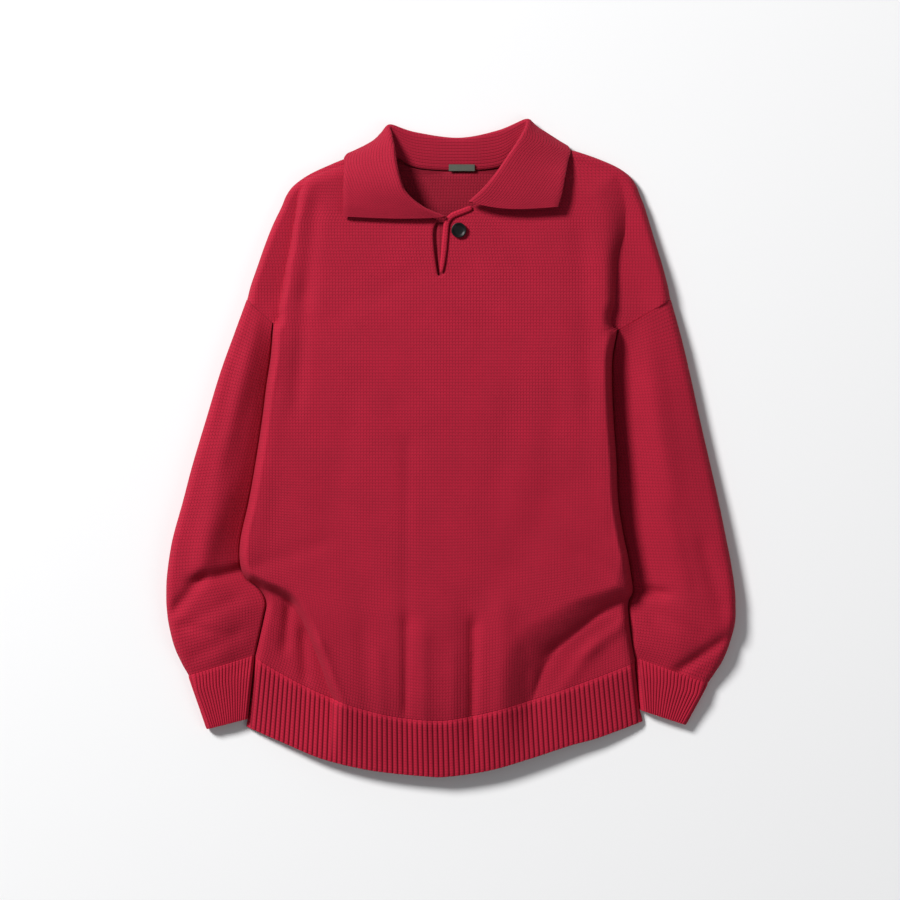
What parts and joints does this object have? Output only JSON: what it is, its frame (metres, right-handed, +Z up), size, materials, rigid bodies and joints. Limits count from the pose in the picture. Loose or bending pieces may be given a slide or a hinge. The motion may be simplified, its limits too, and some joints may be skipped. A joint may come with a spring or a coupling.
{
  "type": "collared sweater",
  "caption": "Loose knitted pullover with a polo collar, a short buttoned placket, full sleeves and ribbed hem and cuffs, laid flat on its back.",
  "frame": {"origin": "on the surface that the garment lies on, under the middle of its outline", "axes": "+Y from the hem to the collar, +Z up from the surface through the front, +X to the right of a viewer who looks down on the front"},
  "size_m": [0.6559, 0.7577, 0.046],
  "materials": {
    "red_knit": "matt plain knit",
    "red_rib": "matt ribbed knit",
    "collar_knit": "matt plain knit, closer than the body",
    "button_black": "polished",
    "label_weave": "matt woven tape, bare"
  },
  "bodies": {
    "root": {"front_panel": "red_knit", "back_panel": "red_knit", "sleeve_left": "red_knit", "sleeve_right": "red_knit", "hem_rib_front": "red_rib", "hem_rib_back": "red_rib", "cuff_left": "red_rib", "cuff_right": "red_rib", "collar": "collar_knit", "placket_edge": "collar_knit", "placket_under_band": "collar_knit", "button": "button_black", "neck_label": "label_weave"}
  },
  "joints": []
}
